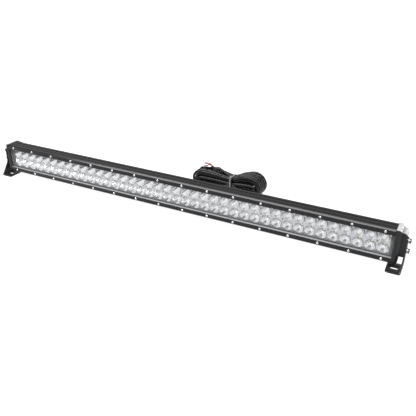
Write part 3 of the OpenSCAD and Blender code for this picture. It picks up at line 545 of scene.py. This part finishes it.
def make_breakout():
    """Moulded boot with three collars, where the cable splits into its two leads."""
    profile = [(0, 3.7), (0.4, 4.3)]
    for collar in range(3):
        start = 1 + 2.6 * collar
        profile += [(start, 4.5), (start + 1.4, 4.5), (start + 1.6, 4.0), (start + 2.3, 4.0)]
    profile += [(9.5, 4.4), (12.6, 4.1), (13.7, 3.4), (14, 2.6)]
    breakout = turned("cable_breakout_moulded", profile)
    low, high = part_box("cable_breakout")
    centre = (low + high) / 2
    point_along(breakout, (high.x, centre.y, centre.z), (-1, 0, 0))
    smooth(breakout)
    return finish(breakout, gland_black, ["cable_breakout"])


def make_lead(name, route, material, node):
    """A short insulated lead, as a mesh."""
    tube = make_tube(name + "_line", smooth_line(route, 6), lead_d)
    work_on(tube)
    bpy.ops.object.convert(target="MESH")
    lead = bpy.context.object
    lead.name = name
    return finish(lead, material, [node])


def rounded_copy(node, width, material, body=BAR, segments=2):
    """A copy of a CAD solid with its sharp edges rounded, to stand for it."""
    piece = bpy.data.objects.new(node + "_finished", nodes[node].data.copy())
    bpy.context.scene.collection.objects.link(piece)
    work_on(piece)
    bpy.ops.object.mode_set(mode="EDIT")
    bpy.ops.mesh.select_all(action="SELECT")
    bpy.ops.mesh.remove_doubles(threshold=0.002 * MM)
    bpy.ops.mesh.dissolve_limited(angle_limit=math.radians(0.5))
    bpy.ops.mesh.customdata_custom_splitnormals_clear()
    bpy.ops.object.mode_set(mode="OBJECT")
    add_modifier(piece, "BEVEL", width=width * MM, segments=segments, limit_method="ANGLE",
                 angle_limit=math.radians(35), miter_outer="MITER_ARC")
    smooth(piece, 30)
    return finish(piece, material, [node], body)


# The leads, from the piece that parts them to their terminals
red_route = [(26, 165, 55.2), (20, 167, 55.8), (14, 169.5, 57), (8, 172, 58)]
black_route = [(26, 161, 55.2), (22, 160, 55.8), (19, 159, 57), (16, 158.5, 58)]
cable_pieces = [
    make_boot(),
    make_tie(),
    make_breakout(),
    make_lead("red_lead_insulated", red_route, lead_red, "red_lead"),
    make_lead("black_lead_insulated", black_route, cable_black, "black_lead"),
    rounded_copy("red_terminal", 0.15, red_metal),
    rounded_copy("black_terminal", 0.15, brass),
]


# ---------------------------------------------------------------- LED optics

module_count = 4
columns = 10
cup_mouth_r = 12.0
cup_base_r = 4.0
cup_depth = 18.0
cup_rings = 9
plate_wall = 0.5
plate_lip = 1.5
# The outlines of an LED's holder and its dome, as (height, radius)
holder_outline = [(0, 3.9), (0.8, 3.9), (1.0, 3.5)]
dome_outline = [(0, 2.3), (0.5, 2.25), (1.0, 1.9), (1.4, 1.3), (1.6, 0.4)]


def make_cell(width, height):
    """One reflector cup: a parabola behind a round mouth in a small rectangle of the module's face."""
    deselect_all()
    bpy.ops.mesh.primitive_grid_add(x_subdivisions=8, y_subdivisions=8, size=1)
    cell = bpy.context.object
    for vertex in cell.data.vertices:
        vertex.co = Vector((vertex.co.x * width, 0, vertex.co.y * height))
    # All faces go but the outermost ring of them
    hole_x, hole_z = 0.37 * width, 0.37 * height
    pick(cell, "FACE", lambda face: abs(face.center.x) < hole_x and abs(face.center.z) < hole_z)
    bpy.ops.mesh.delete(type="FACE")
    # The hole's edge is drawn round to the cup's mouth
    bpy.ops.object.mode_set(mode="OBJECT")
    for vertex in cell.data.vertices:
        if abs(vertex.co.x) < 0.49 * width and abs(vertex.co.z) < 0.49 * height:
            vertex.co = Vector(vertex.co).normalized() * cup_mouth_r * MM
    mouth = {
        vertex.index for vertex in cell.data.vertices
        if abs(vertex.co.length - cup_mouth_r * MM) < 0.01 * MM
    }
    pick(cell, "EDGE", lambda edge: all(index in mouth for index in edge.vertices))
    radius = cup_mouth_r
    for ring in range(1, cup_rings + 1):
        share = ring / cup_rings
        next_radius = math.sqrt(cup_mouth_r ** 2 + (cup_base_r ** 2 - cup_mouth_r ** 2) * share)
        bpy.ops.mesh.extrude_region_move(
            TRANSFORM_OT_translate={"value": (0, cup_depth / cup_rings * MM, 0)}
        )
        scale = next_radius / radius
        bpy.ops.transform.resize(value=(scale, 1, scale), center_override=(0, cup_depth * share * MM, 0))
        radius = next_radius
    bpy.ops.object.mode_set(mode="OBJECT")
    return cell


def make_reflectors():
    """One module of two rows of cups with a lip round it, copied to each module's place."""
    low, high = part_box("reflector_1")
    width = (high.x - low.x) / columns
    height = (high.z - low.z) / 2
    cell = make_cell(width, height)
    copies = []
    for column in range(columns):
        for row in (-0.5, 0.5):
            place = Matrix.Translation(((column - (columns - 1) / 2) * width, 0, row * height))
            copies.append(copy_of(cell, "cup", place))
    bpy.data.objects.remove(cell)
    module = join(copies, "reflector_module")
    pick(module, "VERT", lambda vertex: True)
    bpy.ops.mesh.remove_doubles(threshold=0.02 * MM)
    bpy.ops.object.mode_set(mode="OBJECT")
    half_x, half_z = width * columns / 2, height

    def on_outline(place):
        near_side = abs(abs(place.x) - half_x) < 0.01 * MM
        near_top = abs(abs(place.z) - half_z) < 0.01 * MM
        return abs(place.y) < 0.001 * MM and (near_side or near_top)

    pick(module, "EDGE", lambda edge: all(on_outline(module.data.vertices[i].co) for i in edge.vertices))
    bpy.ops.mesh.extrude_region_move(TRANSFORM_OT_translate={"value": (0, plate_lip * MM, 0)})
    bpy.ops.mesh.select_all(action="SELECT")
    bpy.ops.mesh.normals_make_consistent(inside=False)
    bpy.ops.object.mode_set(mode="OBJECT")
    front = next(face for face in module.data.polygons if abs(face.center.y) < 0.001 * MM)
    if front.normal.y > 0:
        pick(module, "FACE", lambda face: True)
        bpy.ops.mesh.flip_normals()
        bpy.ops.object.mode_set(mode="OBJECT")
    add_modifier(module, "SOLIDIFY", thickness=plate_wall * MM, offset=-1)
    smooth(module, 40)
    for number in range(1, module_count + 1):
        node = f"reflector_{number}"
        low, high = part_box(node)
        place = Matrix.Translation(((low.x + high.x) / 2, low.y, (low.z + high.z) / 2))
        finish(copy_of(module, f"reflector_module_{number}", place), chrome, [node])
    bpy.data.objects.remove(module)


def make_leds():
    """One LED is a round black holder with a yellow dome on it, copied to every cup."""
    board_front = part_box("led_board_1")[0].y
    base = turned("led_holder", holder_outline, sides=16)
    base.data.materials.append(led_base)
    point_along(base, (0, 0, 0), (0, -1, 0))
    dome = turned("led_dome", dome_outline, sides=16)
    dome.data.materials.append(phosphor)
    point_along(dome, mm(0, -1, 0), (0, -1, 0))
    led = join([base, dome], "led")
    copies = []
    for number in range(1, module_count + 1):
        low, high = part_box(f"reflector_{number}")
        width = (high.x - low.x) / columns
        height = (high.z - low.z) / 2
        for column in range(columns):
            for row in (0, 1):
                place = Vector((low.x + (column + 0.5) * width, board_front, low.z + (row + 0.5) * height))
                copies.append(copy_of(led, "led", Matrix.Translation(place)))
    bpy.data.objects.remove(led)
    leds = join(copies, "led_domes")
    smooth(leds, 50)
    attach(leds, BAR)
    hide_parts("led_emitters")


make_reflectors()
make_leds()


# ---------------------------------------------------------------- screws and bolts

strip_screw_count = 16
strip_screw_r = 2.9
strip_screw_h = 1.9
strip_screw_key_r = 1.25
# The outline of a domed head below its crown, as shares of its radius and its height
head_outline = [(0.84, 0.8), (0.97, 0.45), (1.0, 0.12), (1.0, 0.0)]


def make_button_screw(name, head_r, head_h, key_r):
    """A domed screw head on the Z axis with a hexagonal socket."""
    crown_r = head_r * 0.62
    deselect_all()
    bpy.ops.mesh.primitive_circle_add(vertices=24, radius=crown_r * MM, location=(0, 0, head_h * MM))
    screw = bpy.context.object
    screw.name = name
    bpy.ops.object.transform_apply(location=True, rotation=True, scale=True)
    bpy.ops.object.mode_set(mode="EDIT")
    bpy.ops.mesh.primitive_circle_add(vertices=6, radius=key_r * MM, location=(0, 0, head_h * MM))
    bpy.ops.mesh.select_all(action="SELECT")
    bpy.ops.mesh.bridge_edge_loops()
    bpy.ops.object.mode_set(mode="OBJECT")

    def distance(index):
        return screw.data.vertices[index].co.xy.length

    crown = 0.97 * crown_r * MM
    pick(screw, "EDGE", lambda edge: all(distance(i) > crown for i in edge.vertices))
    radius, height = crown_r, head_h
    for next_radius, next_height in head_outline:
        drop = (next_height * head_h - height) * MM
        bpy.ops.mesh.extrude_region_move(TRANSFORM_OT_translate={"value": (0, 0, drop)})
        scale = next_radius * head_r / radius
        bpy.ops.transform.resize(value=(scale, scale, 1), center_override=(0, 0, 0))
        radius, height = next_radius * head_r, next_height * head_h
    bpy.ops.mesh.edge_face_add()
    bpy.ops.object.mode_set(mode="OBJECT")
    socket = (key_r + 0.05) * MM
    pick(screw, "EDGE", lambda edge: all(distance(i) < socket for i in edge.vertices))
    depth = 0.6 * head_h * MM
    bpy.ops.mesh.extrude_region_move(TRANSFORM_OT_translate={"value": (0, 0, -depth)})
    bpy.ops.mesh.edge_face_add()
    bpy.ops.object.mode_set(mode="OBJECT")
    face_outwards(screw)
    smooth(screw, 40)
    return screw


def make_strip_screws():
    """A row of button screws along each frame strip."""
    screw = make_button_screw("strip_screw", strip_screw_r, strip_screw_h, strip_screw_key_r)
    point_along(screw, (0, 0, 0), (0, -1, 0))
    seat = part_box("top_frame_strip")[0].y
    for node in ("top_strip_screws", "bottom_strip_screws"):
        low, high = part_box(node)
        first, last = low.x + strip_screw_r * MM, high.x - strip_screw_r * MM
        copies = []
        for number in range(strip_screw_count):
            x = first + (last - first) * number / (strip_screw_count - 1)
            place = Matrix.Translation((x, seat, (low.z + high.z) / 2))
            copies.append(copy_of(screw, "screw", place))
        finish(join(copies, node.replace("screws", "buttons")), steel, [node])
    bpy.data.objects.remove(screw)


make_strip_screws()
for side in ("left", "right"):
    for kind in ("pivot_bolt", "lock_bolt"):
        rounded_copy(f"{side}_{kind}", 0.4, dark_steel)
    rounded_copy(f"{side}_flat_washers", 0.15, washer_steel)
    rounded_copy(f"{side}_spring_washers", 0.12, washer_steel)
    rounded_copy(f"{side}_end_cap", 0.5, caps_with_painted_light[side], segments=3)
    rounded_copy(f"{side}_bracket", 0.4, bracket_black, body=f"{side}_bracket")

rounded_copy("housing", 0.3, housing_black, segments=1)
rounded_copy("top_frame_strip", 0.3, frame_black)
rounded_copy("bottom_frame_strip", 0.3, sill_black_painted_light)
rounded_copy("gland_nut", 0.4, gland_black)
rounded_copy("gland_body", 0.3, gland_black)
rounded_copy("breather_vent", 0.3, gland_black)

# CAD nodes that stay as they are and get a finish
plain_nodes = {
    "lens": lens_clear,
    "lens_seal": seal_rubber,
    "reflector_screws": dark_steel,
    "thermal_pads": pad_blue,
    "board_links": link_copper,
    "driver_board": board_green,
    "driver_stands": brass,
    "driver_coils": component,
    "driver_capacitors": component,
    "driver_transistors": component,
    "driver_leads": lead_red,
    "left_cap_seal": seal_rubber,
    "right_cap_seal": seal_rubber,
    "left_cap_screws": steel,
    "right_cap_screws": steel,
    "gland_locknut": gland_black,
    "gland_seal": seal_rubber,
}
for number in range(1, module_count + 1):
    plain_nodes[f"led_board_{number}"] = board_white
for node, material in plain_nodes.items():
    nodes[node].data.materials.clear()
    nodes[node].data.materials.append(material)


# ---------------------------------------------------------------- floor and light

floor_size = 14
floor_glow = 0.95
sky_strength = 0.7


def add_floor():
    """A plain floor that glows a little, so that it stays pale in the bar's shade."""
    deselect_all()
    bpy.ops.mesh.primitive_plane_add(size=floor_size, location=(0, 0, 0))
    floor = bpy.context.object
    floor.name = "studio_floor"
    white = surface("floor_white", (0.18, 0.18, 0.18), 0.9, mottle=0.005, patch=3, bump=0.01)
    shader = white.node_tree.nodes["Principled BSDF"]
    shader.inputs["Emission Color"].default_value = (1, 1, 1, 1)
    shader.inputs["Emission Strength"].default_value = floor_glow
    floor.data.materials.append(white)


def add_light(name, place, target, size, power):
    """A soft light that shines from a place to a target. Its size is in metres and its power in watts."""
    data = bpy.data.lights.new(name, "AREA")
    data.shape = "RECTANGLE"
    data.size, data.size_y = size
    data.energy = power
    light = bpy.data.objects.new(name, data)
    bpy.context.scene.collection.objects.link(light)
    light.location = place
    light.visible_camera = False
    light.rotation_euler = (Vector(target) - Vector(place)).to_track_quat("-Z", "Y").to_euler()


def light_the_studio():
    """An even white sky, a long light along the bar and a small one behind its right end."""
    world = bpy.data.worlds.new("studio")
    world.use_nodes = True
    sky = world.node_tree.nodes["Background"]
    sky.inputs["Color"].default_value = (1, 1, 1, 1)
    sky.inputs["Strength"].default_value = sky_strength
    bpy.context.scene.world = world
    add_light("overhead", (-0.6, -1.0, 2.05), (-0.6, 0, 0), size=(4.6, 0.5), power=165)
    add_light("right_back", (1.45, 1.8, 0.4), (0.53, 0, 0.08), size=(1.4, 0.7), power=16)
    bpy.context.scene.view_settings.view_transform = "Standard"


add_floor()
light_the_studio()
